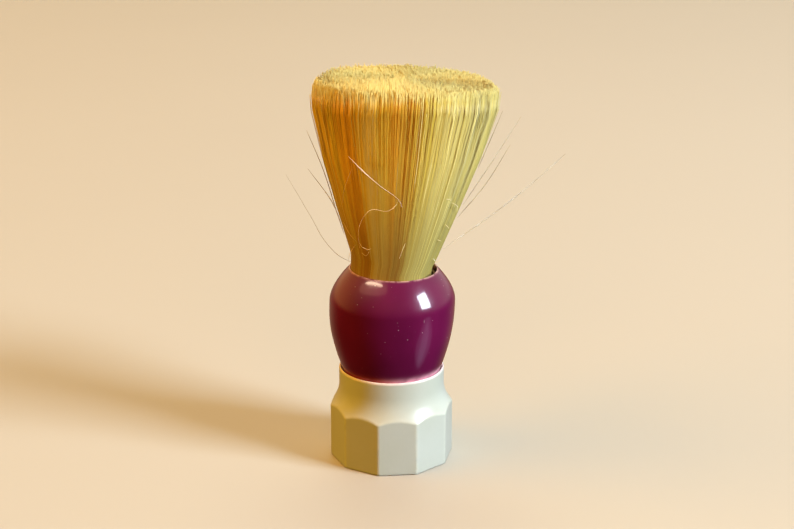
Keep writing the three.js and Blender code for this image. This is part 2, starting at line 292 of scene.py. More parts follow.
class Nodes:
    """A short way to write a node tree."""

    def __init__(self, name):
        self.material = bpy.data.materials.new(name)
        self.material.use_nodes = True
        self.tree = self.material.node_tree
        self.shader = self.tree.nodes["Principled BSDF"]
        self.output = self.tree.nodes["Material Output"]

    def add(self, kind, **settings):
        node = self.tree.nodes.new(kind)
        for key, value in settings.items():
            setattr(node, key, value)
        return node

    def feed(self, socket, value):
        """A link from another node's socket, or a plain value."""
        if isinstance(value, bpy.types.NodeSocket):
            self.tree.links.new(value, socket)
        elif value is not None:
            socket.default_value = value

    def place(self):
        return self.add("ShaderNodeTexCoord").outputs["Object"]

    def attribute(self, name):
        return self.add("ShaderNodeAttribute", attribute_name=name).outputs["Fac"]

    def scaled(self, vector, scale):
        node = self.add("ShaderNodeVectorMath", operation="MULTIPLY")
        self.feed(node.inputs[0], vector)
        node.inputs[1].default_value = scale
        return node.outputs[0]

    def noise(self, vector, scale, detail=3.0, roughness=0.5, distortion=0.0):
        node = self.add("ShaderNodeTexNoise")
        self.feed(node.inputs["Vector"], vector)
        self.feed(node.inputs["Scale"], scale)
        self.feed(node.inputs["Detail"], detail)
        self.feed(node.inputs["Roughness"], roughness)
        self.feed(node.inputs["Distortion"], distortion)
        return node.outputs["Fac"]

    def cells(self, vector, scale, randomness=1.0):
        node = self.add("ShaderNodeTexVoronoi")
        self.feed(node.inputs["Vector"], vector)
        self.feed(node.inputs["Scale"], scale)
        self.feed(node.inputs["Randomness"], randomness)
        return node.outputs["Distance"]

    def math(self, operation, a, b=None, c=None, clamp=False):
        node = self.add("ShaderNodeMath", operation=operation, use_clamp=clamp)
        for socket, value in zip(node.inputs, (a, b, c)):
            self.feed(socket, value)
        return node.outputs[0]

    def span(self, value, low, high, to_low=0.0, to_high=1.0):
        """The value's range from low to high, spread smoothly over the new range."""
        node = self.add("ShaderNodeMapRange", interpolation_type="SMOOTHSTEP")
        self.feed(node.inputs["Value"], value)
        for key, number in (("From Min", low), ("From Max", high), ("To Min", to_low), ("To Max", to_high)):
            node.inputs[key].default_value = number
        return node.outputs["Result"]

    def mix(self, share, a, b, blend="MIX"):
        node = self.add("ShaderNodeMix", data_type="RGBA", blend_type=blend)
        self.feed(node.inputs["Factor"], share)
        self.feed(node.inputs["A"], colour(a))
        self.feed(node.inputs["B"], colour(b))
        return node.outputs["Result"]

    def ramp(self, value, stops):
        node = self.add("ShaderNodeValToRGB")
        elements = node.color_ramp.elements
        while len(elements) < len(stops):
            elements.new(0.5)
        for element, (position, tint) in zip(elements, stops):
            element.position = position
            element.color = colour(tint)
        self.feed(node.inputs["Fac"], value)
        return node.outputs["Color"]

    def bump(self, height, distance, strength=1.0):
        node = self.add("ShaderNodeBump")
        node.inputs["Distance"].default_value = distance * MM
        node.inputs["Strength"].default_value = strength
        self.feed(node.inputs["Height"], height)
        self.feed(self.shader.inputs["Normal"], node.outputs["Normal"])

    def set(self, **values):
        for key, value in values.items():
            self.feed(self.shader.inputs[key.replace("_", " ")], value)


def colour(value):
    """Three numbers get their fourth; a socket passes through."""
    return (*value, 1.0) if isinstance(value, tuple) and len(value) == 3 else value


def scratches(nodes, place, turn, scale, length, width):
    """Short straight scratches: the middles of cells that are drawn out along one direction."""
    mapping = nodes.add("ShaderNodeMapping", vector_type="TEXTURE")
    nodes.feed(mapping.inputs["Vector"], place)
    mapping.inputs["Rotation"].default_value = [math.radians(angle) for angle in turn]
    mapping.inputs["Scale"].default_value = (1.0, 1.0, length)
    return nodes.span(nodes.cells(mapping.outputs["Vector"], scale), width * 0.4, width, 1.0, 0.0)


def ivory_plastic():
    nodes = Nodes("ivory_plastic")
    place = nodes.place()
    edge = nodes.attribute("edge")
    lip = nodes.attribute("lip")
    cloud = nodes.noise(place, 60, detail=1)
    fine = nodes.noise(place, 900, detail=3)
    body = nodes.mix(nodes.span(cloud, 0.3, 0.7), (0.585, 0.59, 0.49), (0.61, 0.62, 0.54))
    body = nodes.mix(nodes.span(fine, 0.35, 0.8, 0.0, 0.05), body, (0.8, 0.78, 0.66))
    worn = nodes.math("MULTIPLY", edge, nodes.span(nodes.noise(place, 420), 0.3, 0.6, 0.35, 1.0))
    body = nodes.mix(nodes.math("MULTIPLY", worn, 0.3), body, (0.86, 0.84, 0.68))
    speck = nodes.span(nodes.cells(place, 330), 0.03, 0.07, 1.0, 0.0)
    rare = nodes.span(nodes.noise(place, 140, detail=2), 0.66, 0.7)
    body = nodes.mix(nodes.math("MULTIPLY", speck, rare), body, (0.16, 0.10, 0.045))
    # Painted highlight: a pink-white line along the lip's rounded top edge, where the rim catches the light.
    painted_lip_highlight = nodes.math("MULTIPLY", lip, nodes.span(nodes.noise(place, 260), 0.25, 0.65, 0.35, 1.0))
    body = nodes.mix(painted_lip_highlight, body, (0.98, 0.80, 0.78))
    line = nodes.math(
        "MAXIMUM",
        scratches(nodes, place, (12, 20, 0), 260, 22, 0.035),
        scratches(nodes, place, (70, -35, 0), 240, 16, 0.03),
    )
    rough = nodes.math("MULTIPLY_ADD", fine, 0.05, 0.285)
    rough = nodes.math("ADD", rough, nodes.math("MULTIPLY", line, 0.08))
    wave = nodes.noise(place, 130, detail=0)
    height = nodes.math("ADD", wave, nodes.math("MULTIPLY", line, -0.06))
    height = nodes.math("ADD", height, nodes.math("MULTIPLY", fine, 0.03))
    nodes.bump(height, 0.07)
    nodes.set(Base_Color=body, Roughness=rough, IOR=1.5)
    return nodes.material


def burgundy_plastic():
    nodes = Nodes("burgundy_plastic")
    place = nodes.place()
    edge = nodes.attribute("edge")
    # The "foot" attribute marks where the reflection of the base's lip is painted on the bulb's foot.
    foot = nodes.attribute("foot")
    cloud = nodes.noise(place, 60, detail=2)
    body = nodes.mix(nodes.span(cloud, 0.3, 0.7), (0.12, 0.0045, 0.042), (0.155, 0.006, 0.056))
    # Painted reflection: the base's bright lip and the lights mirrored in the foot, painted as a glow, warm
    # on the left and pink on the right.
    painted_lip_reflection = nodes.math("MULTIPLY", foot, nodes.span(nodes.noise(place, 170), 0.3, 0.65, 0.45, 1.0))
    side = nodes.add("ShaderNodeSeparateXYZ")
    nodes.feed(side.inputs[0], place)
    tint = nodes.mix(nodes.span(side.outputs["X"], -0.006, 0.004), (0.50, 0.06, 0.04), (0.95, 0.42, 0.54))
    body = nodes.mix(nodes.math("MULTIPLY", painted_lip_reflection, 0.9), body, tint)
    # A pale line round the mouth's edge: partly rubbed wear, partly a painted highlight where the rim catches
    # the light.
    worn = nodes.math("MULTIPLY", edge, nodes.span(nodes.noise(place, 500), 0.35, 0.6, 0.1, 1.0))
    body = nodes.mix(nodes.math("MULTIPLY", worn, 0.8), body, (0.85, 0.48, 0.42))
    dust = nodes.span(nodes.cells(place, 480), 0.04, 0.09, 1.0, 0.0)
    dust = nodes.math("MULTIPLY", dust, nodes.span(nodes.noise(place, 170, detail=2), 0.5, 0.62))
    body = nodes.mix(nodes.math("MULTIPLY", dust, 0.8), body, (0.60, 0.42, 0.42))
    upright = scratches(nodes, place, (8, 5, 0), 420, 20, 0.05)
    slanting = scratches(nodes, place, (40, -50, 20), 380, 14, 0.05)
    level = scratches(nodes, place, (88, 12, 0), 460, 9, 0.06)
    line = nodes.math("MAXIMUM", upright, nodes.math("MAXIMUM", slanting, level))
    line = nodes.math("MULTIPLY", line, nodes.span(nodes.noise(place, 120, detail=2), 0.42, 0.6, 0.15, 1.0))
    body = nodes.mix(nodes.math("MULTIPLY", line, 0.8), body, (0.55, 0.32, 0.36))
    rough = nodes.math("MULTIPLY_ADD", nodes.noise(place, 700), 0.08, 0.28)
    rough = nodes.math("ADD", rough, nodes.math("MULTIPLY", dust, 0.3))
    wave = nodes.noise(place, 90, detail=0)
    height = nodes.math("ADD", wave, nodes.math("MULTIPLY", line, -0.1))
    nodes.bump(height, 0.06)
    nodes.set(Base_Color=body, Roughness=rough, Specular_IOR_Level=0.15)
    nodes.set(Coat_Weight=1.0, Coat_Roughness=0.085, Coat_IOR=1.45)
    return nodes.material


def bristle_material():
    """Each bristle's column of the map holds its hue and its shade, and runs from root to tip."""
    nodes = Nodes("bristle")
    spot = nodes.add("ShaderNodeUVMap", uv_map="OFBake").outputs["UV"]
    parts = nodes.add("ShaderNodeSeparateXYZ")
    nodes.feed(parts.inputs[0], spot)
    column = nodes.math("MULTIPLY", parts.outputs["X"], float(HUES))
    hue = nodes.math("DIVIDE", nodes.math("FLOOR", column), float(HUES - 1))
    shade = nodes.math("FRACT", column)
    height = parts.outputs["Y"]
    body = nodes.ramp(hue, [
        (0.0, (0.90, 0.745, 0.30)),
        (0.25, (0.94, 0.71, 0.18)),
        (0.5, (0.97, 0.67, 0.075)),
        (0.75, (0.98, 0.51, 0.045)),
        (1.0, (0.58, 0.25, 0.02)),
    ])
    root_body = nodes.ramp(hue, [
        (0.0, (0.84, 0.70, 0.19)),
        (0.4, (0.76, 0.54, 0.11)),
        (0.75, (0.44, 0.21, 0.03)),
    ])
    # Towards the roots the bristles turn darker and browner: partly their own colour, partly painted shade
    # where they crowd into the mouth.
    body = nodes.mix(nodes.span(height, 0.0, 0.7, 0.8, 0.0), body, root_body)
    # Painted highlight: the tips are made paler where the cut top faces the light.
    reached = nodes.math("MULTIPLY_ADD", shade, 0.05, height)
    tip = nodes.span(reached, 0.97, 1.02, 0.0, 0.85)
    band = nodes.noise(nodes.scaled(spot, (40.0, 9.0, 1.0)), 4.0, detail=2)
    # Lightness: the shade, which holds painted light round the tuft, a random band, and painted shade that
    # darkens the bristles towards the roots.
    light = nodes.math("MULTIPLY_ADD", shade, 0.5, 0.55)
    light = nodes.math("MULTIPLY", light, nodes.span(band, 0.3, 0.7, 0.95, 1.02))
    light = nodes.math("MULTIPLY", light, nodes.span(height, 0.05, 0.8, 0.68, 1.0))
    body = nodes.mix(1.0, body, light, blend="MULTIPLY")
    body = nodes.mix(tip, body, (0.97, 0.82, 0.32))
    nodes.set(Base_Color=body, Roughness=nodes.span(shade, 0.0, 1.0, 0.55, 0.4), Specular_IOR_Level=0.3)
    return nodes.material


def stray_material(name, body, pale):
    nodes = Nodes(name)
    place = nodes.place()
    along = nodes.noise(place, 160, detail=2)
    nodes.set(Base_Color=nodes.mix(nodes.span(along, 0.35, 0.65), body, pale), IOR=1.5)
    nodes.set(Roughness=nodes.span(nodes.noise(place, 900), 0.3, 0.7, 0.3, 0.48))
    return nodes.material


def grained(name, dark, light, grain, low, high, depth, stretch=(1.0, 1.0, 1.0), metallic=0.0):
    """A plain matt or metal finish with a grain, for the pieces inside the handle."""
    nodes = Nodes(name)
    place = nodes.scaled(nodes.place(), stretch)
    coarse = nodes.noise(place, grain, detail=6, roughness=0.6)
    fine = nodes.noise(place, grain * 7, detail=4, roughness=0.6)
    value = nodes.math("MULTIPLY_ADD", fine, 0.4, nodes.math("MULTIPLY", coarse, 0.6))
    nodes.set(Base_Color=nodes.mix(nodes.span(value, 0.35, 0.65), dark, light), Metallic=metallic)
    nodes.set(Roughness=nodes.span(coarse, 0.3, 0.7, low, high))
    nodes.bump(value, depth)
    return nodes.material


# ---------------------------------------------------------------- the handle

def base_angles():
    """Angles round the base, closer together towards the corners."""
    half = math.pi / FLATS
    t = np.linspace(-1, 1, STEPS_ON_A_FLAT, endpoint=False)
    across = half * np.sin(t * math.pi / 2)
    middles = FIRST_CORNER + half + 2 * half * np.arange(FLATS)
    return (middles[:, None] + across[None, :]).ravel()


def skirt_radius(angles):
    """Radius of the ten-sided skirt, and how close each angle is to a corner."""
    half = math.pi / FLATS
    apothem = CORNER_RADIUS * math.cos(half)
    off = (angles - FIRST_CORNER) % (2 * half) - half
    near = apothem / np.cos(off)
    next_flat = apothem / np.cos(2 * half - np.abs(off))
    corner = np.exp(-(((next_flat - near) / SOFT_EDGE) ** 2))
    return soft_min(near, next_flat, SOFT_EDGE), corner


def cove_radius(height):
    if height >= COVE_TOP:
        return NECK_RADIUS
    drop = min(COVE_TOP - height, COVE_RADIUS)
    return NECK_RADIUS + COVE_RADIUS - math.sqrt(COVE_RADIUS ** 2 - drop ** 2)


def build_base():
    angles = base_angles()
    skirt, corner = skirt_radius(angles)
    rings, edges, lip_highlights = [], [], []

    # The last value of a ring is its share of the painted highlight along the lip.
    def level(radius, height, edge=0.0, lip=0.0):
        rings.append(ring(radius, height, angles))
        edges.append(np.broadcast_to(edge, angles.shape))
        lip_highlights.append(np.broadcast_to(lip, angles.shape))

    for share in (0.2, 0.5, 0.8, 0.94):
        level(skirt * share, 0.0)
    for turn in np.linspace(0, math.pi / 2, 6):
        inward = FOOT_ROUNDING * (1 - math.sin(turn))
        level(skirt - inward, FOOT_ROUNDING * (1 - math.cos(turn)), np.maximum(math.sin(2 * turn), corner))
    heights = np.concatenate([
        np.linspace(1.0, ARC_ZONE[0], 9),
        np.linspace(*ARC_ZONE, 46)[1:],
        np.linspace(ARC_ZONE[1], COVE_TOP, 14)[1:],
        np.linspace(COVE_TOP, BASE_TOP - LIP_ROUNDING, 7)[1:],
    ])
    for height in heights:
        cove = cove_radius(height)
        crease = np.exp(-(((skirt - cove) / SOFT_EDGE) ** 2))
        below = skirt < cove
        level(soft_min(skirt, cove, SOFT_EDGE), height, np.maximum(crease, corner * below))
    recess = NECK_RADIUS - LIP_WIDTH
    for turn in np.linspace(0, math.pi / 2, 9)[1:]:
        radius = NECK_RADIUS - 0.8 * LIP_WIDTH * (1 - math.cos(turn))
        level(radius, BASE_TOP - LIP_ROUNDING * (1 - math.sin(turn)), 0.4, math.sin(turn) ** 0.5)
    level(recess, BASE_TOP - 0.08, 0.0, 1.0)
    socket = FILLER_RADIUS + GAP
    floor = FILLER_BOTTOM - GAP
    level(recess, BASE_TOP - LIP_DEPTH, 0.0, 0.6)
    for radius, height in ((socket, BASE_TOP - LIP_DEPTH), (socket, floor), (socket * 0.5, floor)):
        level(radius, height)
    vertices, faces = skin(rings, (0, 0, 0), (0, 0, floor))
    base = mesh_object("base_shell", vertices, faces, values=shell_values(edge=edges, lip=lip_highlights))
    base.data.materials.append(ivory_plastic())
    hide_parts("base")
    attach(base, "handle")


def bulb_profile():
    """The bulb's outline from its foot up over the shoulder and in along the flat rim, evenly stepped."""
    belly = bezier(
        (BULB_FOOT_RADIUS, BASE_TOP),
        (BULB_RADIUS, BASE_TOP + FOOT_PULL),
        (BULB_RADIUS, BULB_WIDEST - BELLY_PULL),
        (BULB_RADIUS, BULB_WIDEST),
        400,
    )
    shoulder = bezier(
        (BULB_RADIUS, BULB_WIDEST),
        (BULB_RADIUS, BULB_WIDEST + SHOULDER_PULL),
        (MOUTH_EDGE_RADIUS + MOUTH_PULL[0], MOUTH_HEIGHT - MOUTH_PULL[1]),
        (MOUTH_EDGE_RADIUS, MOUTH_HEIGHT),
        400,
    )
    rim = np.array([[MOUTH_EDGE_RADIUS - 2, MOUTH_HEIGHT]])
    outline = np.concatenate([belly, shoulder[1:], rim])
    lengths = np.concatenate([[0], np.cumsum(np.hypot(*np.diff(outline, axis=0).T))])
    return lengths, outline


def build_bulb():
    angles = np.linspace(0, 2 * math.pi, 256, endpoint=False)
    lengths, outline = bulb_profile()
    bore = CEMENT_RADIUS + GAP
    # Distance from the middle of the mouth to the bore's wall, which is off that middle.
    aside = BORE_OFFSET - TOP_SHIFT
    to_bore = aside * np.cos(angles) + np.sqrt(bore ** 2 - (aside * np.sin(angles)) ** 2)
    upper = outline[:, 1] >= BULB_WIDEST
    stop = np.interp(-(to_bore + MOUTH_ROUNDING), -outline[upper, 0], lengths[upper])
    foot = BASE_TOP - LIP_DEPTH + GAP
    rings, edges, lip_reflection_rows = [], [], []

    # The last value of a ring is its share of the painted reflection of the base's lip.
    def level(radius, height, edge=0.0, low=0.0):
        shift = TOP_SHIFT * smooth_step(SHIFT_FROM, MOUTH_HEIGHT - 4, height)
        rings.append(ring(radius, height, angles, shift))
        edges.append(np.broadcast_to(edge, angles.shape))
        lip_reflection_rows.append(np.broadcast_to(low, angles.shape))

    for radius, height in ((0.5, BULB_LOW), (1, BULB_LOW), (1, foot)):
        level(FILLER_RADIUS * radius, height)
    level(BULB_FOOT_RADIUS, foot, 0.0, 1.0)
    for share in np.linspace(0, 1, 120):
        along = share * stop
        radius = np.interp(along, lengths, outline[:, 0])
        height = np.interp(along, lengths, outline[:, 1])
        at_mouth = np.exp(-(((along - stop) / MOUTH_ROUNDING) ** 2))
        lip_reflection_share = np.exp(-((height - BASE_TOP) / LIP_REFLECTION_REACH) ** 2)
        level(radius, height, at_mouth, lip_reflection_share)
    top = np.interp(stop, lengths, outline[:, 1])
    for turn in np.linspace(0, math.pi / 2, 7)[1:]:
        radius = to_bore + MOUTH_ROUNDING * (1 - math.sin(turn))
        level(radius, top - MOUTH_ROUNDING * (1 - math.cos(turn)), 1.0)
    for depth in (1.2, 3, 8):
        level(to_bore, MOUTH_HEIGHT - depth, math.exp(-depth))
    floor = PLUG_BOTTOM - GAP
    straight = np.full_like(angles, floor)
    rings.append(ring(to_bore, straight, angles, TOP_SHIFT))
    rings.append(ring(to_bore * 0.5, straight, angles, TOP_SHIFT))
    edges += [np.zeros_like(angles)] * 2
    lip_reflection_rows += [np.zeros_like(angles)] * 2
    vertices, faces = skin(rings, (0, 0, BULB_LOW), (BORE_OFFSET, 0, floor))
    bulb = mesh_object("bulb_shell", vertices, faces, values=shell_values(edge=edges, foot=lip_reflection_rows))
    bulb.data.materials.append(burgundy_plastic())
    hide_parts("upper_handle")
    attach(bulb, "handle")


# ---------------------------------------------------------------- the tuft

def side_radius(height):
    """Radius of the tuft's side at a height above the mouth."""
    share = np.clip(height / (TUFT_HEIGHT - CROWN_HEIGHT), 0, 1)
    return KNOT_RADIUS + (TUFT_TOP_RADIUS - KNOT_RADIUS) * share + TUFT_BELLY * np.sin(math.pi * share ** 1.2)


def crown_height(radius, angle):
    """Height of the cut top at a distance from the tuft's axis; its edge drops most behind."""
    past = np.clip((radius - (TUFT_TOP_RADIUS - CROWN_WIDTH)) / CROWN_WIDTH, 0, 1)
    drop = CROWN_DROP + CROWN_TILT * np.cos(angle - CROWN_TURN)
    raised = FRONT_RISE * np.clip(-np.sin(angle), 0, 1) * (radius / TUFT_TOP_RADIUS) ** 2
    return TUFT_HEIGHT + raised - drop * (1 - np.sqrt(1 - past * past))


def wave(angles, knots, rng):
    """A smooth random value round the tuft, from -1 to 1, with that many knots."""
    values = rng.uniform(-1, 1, knots)
    place = (angles / (2 * math.pi)) % 1 * knots
    low = np.floor(place).astype(int)
    t = place - low
    t = t * t * (3 - 2 * t)
    return values[low % knots] * (1 - t) + values[(low + 1) % knots] * t


def to_world(points):
    """From the tuft's leaning frame to the brush's frame."""
    matrix = np.array(TUFT_FRAME)
    return points @ matrix[:3, :3].T + matrix[:3, 3]


def tuft_normals(paths):
    """The whole tuft's normal beside each point, outward at the side and upward at the cut top.

    The second value is the direction away from the tuft's axis.
    """
    x, y, height = paths[..., 0] - SLANT * paths[..., 2], paths[..., 1], paths[..., 2]
    radius = np.maximum(np.hypot(x, y), 1e-3)
    tip = height[:, -1:]
    topped = smooth_step(tip - TOP_TURN, tip, height)
    rim = smooth_step(0.72, 1.0, radius / side_radius(height))
    out = rim * (1 - 0.8 * topped)
    up = (1 - 0.2 * rim) * topped
    normals = np.stack([out * x / radius, out * y / radius, up], -1)
    length = np.linalg.norm(normals, axis=-1, keepdims=True)
    radial = np.stack([x / radius, y / radius, np.zeros_like(x)], -1)
    return np.where(length > 0.05, normals / np.maximum(length, 0.05), radial), radial


def strand_mesh(paths, thickness, hue, shade, sides):
    """Tubes along paths (bristle, level, xyz), with their place in the bristle map.

    One flat of each tube faces out of the tuft, and its normals lean towards those of the whole tuft.
    """
    count, levels = paths.shape[:2]
    along = np.gradient(paths, axis=1)
    along /= np.linalg.norm(along, axis=2, keepdims=True)
    whole, radial = tuft_normals(paths)
    front = radial - (radial * along).sum(2, keepdims=True) * along
    front /= np.linalg.norm(front, axis=2, keepdims=True)
    other = np.cross(along, front)
    twist = math.pi / sides + 0.2 * np.sin(np.arange(count) * 2.4)
    spin = (twist[:, None] + 2 * math.pi * np.arange(sides)[None, :] / sides)[:, None, :, None]
    outward = np.cos(spin) * front[:, :, None, :] + np.sin(spin) * other[:, :, None, :]
    vertices = (paths[:, :, None, :] + thickness[:, :, None, None] * outward).reshape(-1, 3)
    normals = (OWN_NORMAL * outward + (1 - OWN_NORMAL) * whole[:, :, None, :]).reshape(-1, 3)
    normals /= np.linalg.norm(normals, axis=1, keepdims=True)
    here = np.arange(sides)
    after = (here + 1) % sides
    wall = np.concatenate([
        np.stack([here, after, after + sides, here + sides], 1) + sides * row for row in range(levels - 1)
    ])
    caps = np.stack([here[::-1], here + sides * (levels - 1)])
    offsets = (np.arange(count) * sides * levels)[:, None, None]
    faces = [(wall[None] + offsets).reshape(-1, 4), (caps[None] + offsets).reshape(-1, sides)]
    hue_step = np.clip((hue * HUES).astype(int), 0, HUES - 1)
    shade_step = np.clip((shade * SHADES).astype(int), 0, SHADES - 1)
    column = (hue_step * SHADES + shade_step)[:, None, None]
    across = 0.15 + 0.7 * here / (sides - 1)
    u = (column + across[None, None, :]) / (HUES * SHADES)
    u = np.broadcast_to(u, (count, levels, sides))
    length = paths[:, :, 2:3].max(axis=1, keepdims=True)
    v = np.broadcast_to(np.clip(paths[:, :, 2:3] / length, 0, 1) * 0.98 + 0.01, u.shape)
    turn = np.array(TUFT_FRAME)[:3, :3]
    return to_world(vertices), faces, np.stack([u, v], 3).reshape(-1, 2), normals @ turn.T


def joined(parts):
    """One mesh from several (vertices, faces, uv, normals)."""
    starts = np.cumsum([0] + [len(part[0]) for part in parts])
    faces = [face + start for part, start in zip(parts, starts) for face in part[1]]
    vertices, uv, normals = (np.concatenate([part[index] for part in parts]) for index in (0, 2, 3))
    return vertices, faces, uv, normals


def random_strands():
    """What sets each bristle: its place round the tuft and across it, its tip, its bend and its tone."""
    rng = np.random.default_rng(SEED)
    angle = rng.uniform(-math.pi, math.pi, STRANDS)
    inner = np.sqrt(rng.uniform(0, 1, INNER_STRANDS))
    share = np.concatenate([inner, rng.uniform(OUTER_FROM, 1, OUTER_STRANDS)])
    clump = np.round((angle + 0.12 * wave(angle, 40, rng)) / (2 * math.pi) * CLUMPS) / CLUMPS * 2 * math.pi
    pull = CLUMP_PULL * rng.uniform(0, 1, STRANDS) * smooth_step(0.5, 1, share)
    swirl = rng.normal(0, SWIRL, STRANDS) + 0.006 * wave(angle, 23, rng)
    loose = rng.uniform(0, 1, STRANDS) < LOOSE_SHARE
    swirl += np.where(loose, rng.normal(0, LOOSE_SWIRL, STRANDS), 0)
    left = np.clip(np.cos(angle - RAGGED_TURN), 0, 1) ** 2
    ragged = rng.normal(-0.15, TIP_SPREAD, STRANDS) * (1 + 1.3 * left)
    ragged -= np.where(rng.uniform(0, 1, STRANDS) < SHORT_SHARE, rng.uniform(0.5, 2, STRANDS), 0)
    hue, shade = strand_tones(angle, loose & (share > OUTER_FROM), rng)
    stands_off = rng.uniform(0, 1, STRANDS) < FAR_SHARE + FAR_SHARE_RAGGED * left
    far = np.where(stands_off, rng.uniform(0, FAR_FLARE, STRANDS), 0)
    far *= share > OUTER_FROM
    return {
        "angle": angle,
        "share": share,
        "turn": pull * (clump - angle) + swirl,
        "tip": crown_height(share * TUFT_TOP_RADIUS, angle) + np.clip(ragged, -3, 1.6),
        "flare": np.where(loose & (share > 0.9), LOOSE_FLARE * rng.uniform(0, 1, STRANDS), 0) + far,
        "bend_x": rng.normal(0, BEND_SPREAD, STRANDS),
        "bend_y": rng.normal(0, BEND_SPREAD, STRANDS),
        "size": rng.uniform(0.8, 1.25, STRANDS) * np.where(share > OUTER_FROM, OUTER_SIZE, INNER_SIZE),
        "hue": hue,
        "shade": shade,
        "border": rng.normal(0, 1, STRANDS),
        "astray": rng.normal(0, ASTRAY, STRANDS),
    }


def strand_paths(strands, levels):
    """Paths in the tuft's frame, and the thickness along them."""
    angle, share, tip = (strands[key][:, None] for key in ("angle", "share", "tip"))
    roots = np.broadcast_to([-ROOT_DEPTH, 0.0, ROOT_CURVE], (len(tip), 3))
    heights = np.concatenate([roots, ROOT_CURVE + (tip - ROOT_CURVE) * levels[None, 1:]], 1)
    up = np.clip(heights / TUFT_HEIGHT, 0, 1.1)
    filled = smooth_step(0, ROOT_CURVE, heights)
    radius = share * (ROOT_RADIUS + (side_radius(heights) - SIDE_INSET * up - ROOT_RADIUS) * filled)
    radius = radius + strands["flare"][:, None] * up * up
    turned = angle + strands["turn"][:, None] * up
    x = radius * np.cos(turned) + ROOT_SHIFT * (1 - filled) + SLANT * heights
    y = radius * np.sin(turned)
    x = x + strands["bend_x"][:, None] * up * up
    y = y + strands["bend_y"][:, None] * up * up
    thickness = (ROOT_THICKNESS + (TIP_THICKNESS - ROOT_THICKNESS) * up) * strands["size"][:, None]
    return np.stack([x, y, heights], 2), thickness


def strand_tones(angle, crossing, rng):
    """Hue runs from green-yellow (0) to brown (1), shade from dark (0) to light (1); round the tuft the shade
    is painted light, after the streaks.
    """
    count = len(angle)
    turns, hues, painted_light_levels = np.array(STREAKS, float).T
    blurred = np.degrees(angle + rng.normal(0, 0.03, count) + 0.04 * wave(angle, 37, rng))
    hue = np.interp(blurred, turns, hues, period=360)
    hue += 0.08 * wave(angle, 60, rng) + 0.04 * wave(angle, 150, rng) + rng.normal(0, 0.05, count)
    # Painted light: the shade round the tuft, lighter on the left in front and darker on the right.
    shade = np.interp(blurred, turns, painted_light_levels, period=360)
    shade += 0.05 * wave(angle, 80, rng) + 0.08 * wave(angle, 260, rng) + rng.normal(0, 0.07, count)
    pale = rng.uniform(0, 1, count) < np.where(crossing, 0.4, 0.015)
    return np.clip(np.where(pale, 0.1, hue), 0, 0.999), np.clip(np.where(pale, 0.97, shade), 0, 0.999)


def stray_path(route, steps):
    """A smooth path through [degrees round the tuft, height above the mouth, distance out from its side]."""
    azimuth, height, out = np.array(route, float).T
    radius = side_radius(height) + out
    angle = np.radians(azimuth)
    knots = np.stack([radius * np.cos(angle) + SLANT * height, radius * np.sin(angle), height], 1)
    knots = np.concatenate([2 * knots[:1] - knots[1:2], knots, 2 * knots[-1:] - knots[-2:-1]])
    points = []
    for a, b, c, d in zip(knots, knots[1:], knots[2:], knots[3:]):
        for t in np.linspace(0, 1, steps, endpoint=False):
            even = (2 * a - 5 * b + 4 * c - d) * t ** 2
            points.append(0.5 * (2 * b + (c - a) * t + even + (3 * b - a - 3 * c + d) * t ** 3))
    return np.array(points + [knots[-2]])


def stray_mesh(routes, thickness, hue, shade, fades=False):
    """Single hairs that taper towards both ends, joined in one mesh; fading ones are thin past the middle."""
    parts = []
    for route in routes:
        path = stray_path(route, 8)
        t = np.linspace(0, 1, len(path))
        size = thickness * (0.35 + 0.65 * np.minimum(1, 6 * t)) * (1 - 0.65 * t ** 3)
        size = size * (1 - 0.7 * smooth_step(0.2, 0.42, t) * fades)
        parts.append(strand_mesh(path[None], size[None], np.array([hue]), np.array([shade]), sides=6))
    return joined(parts)


def add_tuft_piece(name, mesh, material, body, nodes):
    piece = mesh_object(name, *mesh)
    piece.data.materials.append(material)
    if nodes:
        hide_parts(*nodes)
    if body == "handle":
        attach(piece, "handle")
        return
    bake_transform(piece)


def bundle_mesh(strands):
    """One mesh of bristles; those on the tuft's side have more sides and levels than those inside."""
    outer = strands["share"] > OUTER_FROM
    parts = []
    for chosen, levels, sides in ((~outer, INNER_LEVELS, INNER_SIDES), (outer, OUTER_LEVELS, OUTER_SIDES)):
        if chosen.any():
            some = {key: value[chosen] for key, value in strands.items()}
            parts.append(strand_mesh(*strand_paths(some, levels), some["hue"], some["shade"], sides))
    return joined(parts)


def build_tuft():
    strands = random_strands()
    material = bristle_material()
    in_core = strands["share"] + LOCK_BLUR * strands["border"] < CORE_SHARE
    around = (strands["angle"] - FIRST_LOCK + strands["astray"]) % (2 * math.pi)
    lock = np.round(around / (2 * math.pi) * LOCKS).astype(int) % LOCKS
    for index in range(-1, LOCKS):
        chosen = in_core if index < 0 else ~in_core & (lock == index)
        part = {key: value[chosen] for key, value in strands.items()}
        mesh = bundle_mesh(part)
        if index < 0:
            add_tuft_piece("tuft_core", mesh, material, "handle", ["bristle_core"])
        else:
            lock_name = f"lock_{index + 1:02d}"
            add_tuft_piece(f"tuft_{lock_name}", mesh, material, lock_name, [f"bristle_{lock_name}"])


def build_strays():
    brown = stray_material("stray_brown", (0.26, 0.16, 0.07), (0.46, 0.32, 0.16))
    pale = stray_material("stray_pale", (0.92, 0.74, 0.64), (0.98, 0.90, 0.84))
    gold = stray_material("curl_gold", (0.76, 0.50, 0.18), (0.92, 0.74, 0.42))
    for number, (body, route) in enumerate(STRAYS, 1):
        material = {PALE_STRAY: pale, GOLD_STRAY: gold}.get(number, brown)
        thickness = STRAY_THICKNESS * STRAY_SIZES.get(number, OTHER_STRAY_SIZE)
        mesh = stray_mesh([route], thickness, 0.4, 0.5, fades=number == PALE_STRAY)
        add_tuft_piece(f"stray_{number:02d}", mesh, material, body, [f"stray_bristle_{number:02d}"])
    for body, routes in CURLS.items():
        mesh = stray_mesh(routes, CURL_THICKNESS, 0.2, 0.9)
        add_tuft_piece(f"curls_{body}", mesh, gold, body, [])


# ---------------------------------------------------------------- finishes of the kept CAD pieces

